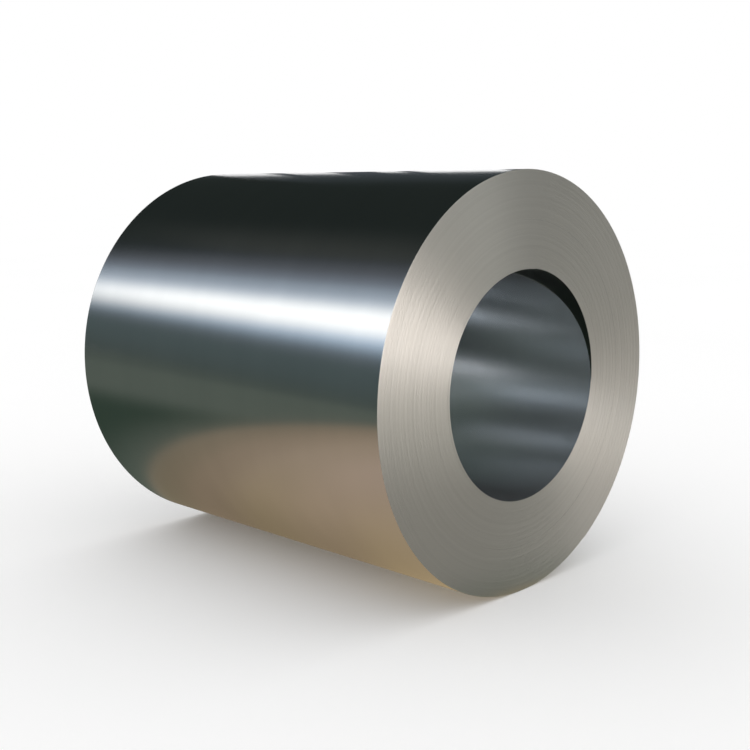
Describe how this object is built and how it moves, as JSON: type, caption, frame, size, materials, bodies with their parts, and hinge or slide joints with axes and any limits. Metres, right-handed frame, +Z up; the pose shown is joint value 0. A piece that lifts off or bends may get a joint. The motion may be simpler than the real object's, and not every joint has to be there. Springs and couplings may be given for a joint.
{
  "type": "steel coil",
  "caption": "Coil of bright cold-rolled steel strip with an open round bore, lying on its side.",
  "frame": {"origin": "on the floor under the middle of the coil, below the bore's axis", "axes": "+X along the bore's axis, out of the end that the picture shows; +Z up; +Y completes the right-handed frame"},
  "size_m": [1.219, 1.1167, 1.1155],
  "materials": {
    "steel_strip": "bright, lightly oiled cold-rolled surface with fine rolling lines"
  },
  "bodies": {
    "root": {"coil": "steel_strip"}
  },
  "joints": []
}
